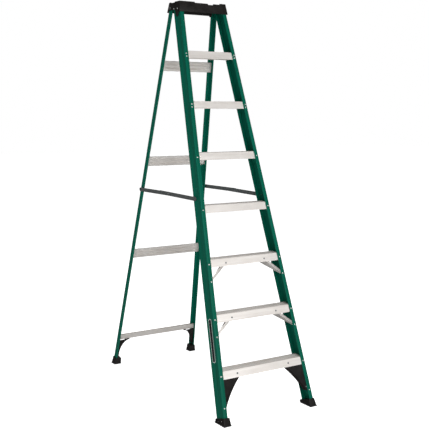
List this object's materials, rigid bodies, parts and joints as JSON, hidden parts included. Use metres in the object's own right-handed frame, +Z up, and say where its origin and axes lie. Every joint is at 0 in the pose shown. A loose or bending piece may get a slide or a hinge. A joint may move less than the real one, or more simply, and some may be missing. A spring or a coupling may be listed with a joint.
{
  "type": "stepladder",
  "caption": "Free-standing folding stepladder with green fibreglass rails, flat aluminium steps, a black moulded tray cap and side spreaders.",
  "frame": {"origin": "on the floor, at the middle of the open ladder's footprint", "axes": "+X across the ladder to the climber's right, -Y towards the climber, +Z up"},
  "size_m": [0.633, 1.3918, 2.31],
  "materials": {
    "fibreglass_rail": "satin pultruded fibreglass, green",
    "aluminium": "mill finish, extruded",
    "rivet": "plain rivet",
    "spreader_steel": "zinc-plated flat steel, dull grey",
    "black_plastic": "moulded, fine texture",
    "rubber_sole": "ribbed"
  },
  "bodies": {
    "front_section": {"front_rail_left": "fibreglass_rail", "front_rail_right": "fibreglass_rail", "step_1": "aluminium", "step_2": "aluminium", "step_3": "aluminium", "step_4": "aluminium", "step_5": "aluminium", "step_6": "aluminium", "step_7": "aluminium", "step_rivet_1_left": "rivet", "step_rivet_1_right": "rivet", "step_rivet_2_left": "rivet", "step_rivet_2_right": "rivet", "step_rivet_3_left": "rivet", "step_rivet_3_right": "rivet", "step_rivet_4_left": "rivet", "step_rivet_4_right": "rivet", "step_rivet_5_left": "rivet", "step_rivet_5_right": "rivet", "step_rivet_6_left": "rivet", "step_rivet_6_right": "rivet", "step_rivet_7_left": "rivet", "step_rivet_7_right": "rivet", "knee_brace_2_left": "aluminium", "knee_brace_2_right": "aluminium", "knee_brace_3_left": "aluminium", "knee_brace_3_right": "aluminium", "front_gusset_left": "black_plastic", "front_gusset_right": "black_plastic", "front_boot_left": "black_plastic", "front_boot_right": "black_plastic", "front_sole_left": "rubber_sole", "front_sole_right": "rubber_sole", "top_cap": "black_plastic", "rear_pivot_pin_left": "spreader_steel", "rear_pivot_pin_right": "spreader_steel", "spreader_front_rivet_left": "spreader_steel", "spreader_front_rivet_right": "spreader_steel"},
    "rear_section": {"rear_rail_left": "fibreglass_rail", "rear_rail_right": "fibreglass_rail", "rear_bar_top": "aluminium", "rear_bar_middle": "aluminium", "rear_bar_lower": "aluminium", "rear_bar_bottom": "aluminium", "rear_gusset_left": "black_plastic", "rear_gusset_right": "black_plastic", "rear_boot_left": "black_plastic", "rear_boot_right": "black_plastic", "rear_sole_left": "rubber_sole", "rear_sole_right": "rubber_sole", "spreader_rear_rivet_left": "spreader_steel", "spreader_rear_rivet_right": "spreader_steel"},
    "spreader_front_bar_left": {"spreader_front_left": "spreader_steel"},
    "spreader_rear_bar_left": {"spreader_rear_left": "spreader_steel", "spreader_elbow_rivet_left": "spreader_steel"},
    "spreader_front_bar_right": {"spreader_front_right": "spreader_steel"},
    "spreader_rear_bar_right": {"spreader_rear_right": "spreader_steel", "spreader_elbow_rivet_right": "spreader_steel"}
  },
  "joints": [
    {"name": "rear_fold", "type": "hinge", "parent": "front_section", "child": "rear_section", "pos_m": [0, 0.12749, 2.275], "axis": [-1, 0, 0], "range_deg": [0, 30.3]},
    {"name": "spreader_front_turn_left", "type": "hinge", "parent": "front_section", "child": "spreader_front_bar_left", "pos_m": [-0.2304, -0.26421, 1.18], "axis": [1, 0, 0], "range_deg": [0, 70.44]},
    {"name": "spreader_rear_turn_left", "type": "hinge", "parent": "rear_section", "child": "spreader_rear_bar_left", "pos_m": [-0.22862, 0.39479, 1.186], "axis": [-1, 0, 0], "range_deg": [0, 66.86]},
    {"name": "spreader_front_turn_right", "type": "hinge", "parent": "front_section", "child": "spreader_front_bar_right", "pos_m": [0.2304, -0.26421, 1.18], "axis": [1, 0, 0], "range_deg": [0, 70.44]},
    {"name": "spreader_rear_turn_right", "type": "hinge", "parent": "rear_section", "child": "spreader_rear_bar_right", "pos_m": [0.22862, 0.39479, 1.186], "axis": [-1, 0, 0], "range_deg": [0, 66.86]}
  ],
  "couplings": [
    {"joint": "spreader_front_turn_left", "follows": "rear_fold", "ratio": 2.3182},
    {"joint": "spreader_rear_turn_left", "follows": "rear_fold", "ratio": 2.2001},
    {"joint": "spreader_front_turn_right", "follows": "rear_fold", "ratio": 2.3182},
    {"joint": "spreader_rear_turn_right", "follows": "rear_fold", "ratio": 2.2001}
  ]
}
